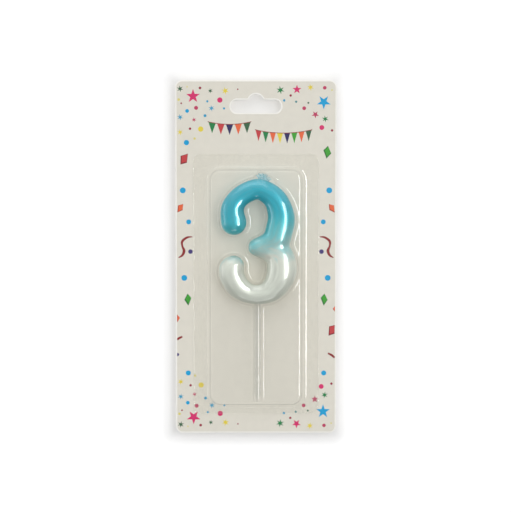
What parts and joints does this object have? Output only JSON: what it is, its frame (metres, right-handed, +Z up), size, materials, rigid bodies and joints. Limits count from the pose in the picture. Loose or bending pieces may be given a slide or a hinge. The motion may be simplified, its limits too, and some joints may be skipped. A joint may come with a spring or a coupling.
{
  "type": "number birthday candle",
  "caption": "Pearlescent wax numeral candle with a wick and a clear pick, held under a clear formed blister that is sealed to a printed card with a hang slot.",
  "frame": {"origin": "centre of the hang slot, on the card's flat back face", "axes": "+Z up the card, +X to the right seen from the front, the front faces -Y"},
  "size_m": [0.085, 0.0143, 0.1865],
  "materials": {
    "printed_card": "coated board, satin, printed with confetti and flags",
    "seal_lacquer": "clear heat-seal lacquer",
    "clear_sheet": "clear formed sheet, glossy",
    "pearl_wax": "pearlescent wax, aqua blue fading to pearl white",
    "waxed_wick": "braided cotton dipped in aqua wax",
    "clear_pick": "clear moulded plastic"
  },
  "bodies": {
    "card": {"backing_card": "printed_card", "heat_seal": "seal_lacquer"},
    "blister": {"blister_shell": "clear_sheet"},
    "candle": {"wax_number": "pearl_wax", "wick": "waxed_wick", "pick": "clear_pick"}
  },
  "joints": [
    {"name": "blister_lift", "type": "slide", "parent": "card", "child": "blister", "axis": [0, -1, 0], "range_m": [0, 0.06]},
    {"name": "candle_lift", "type": "slide", "parent": "card", "child": "candle", "axis": [0, -1, 0], "range_m": [0, 0.03]}
  ],
  "couplings": [
    {"joint": "candle_lift", "follows": "blister_lift", "ratio": 0.5}
  ]
}
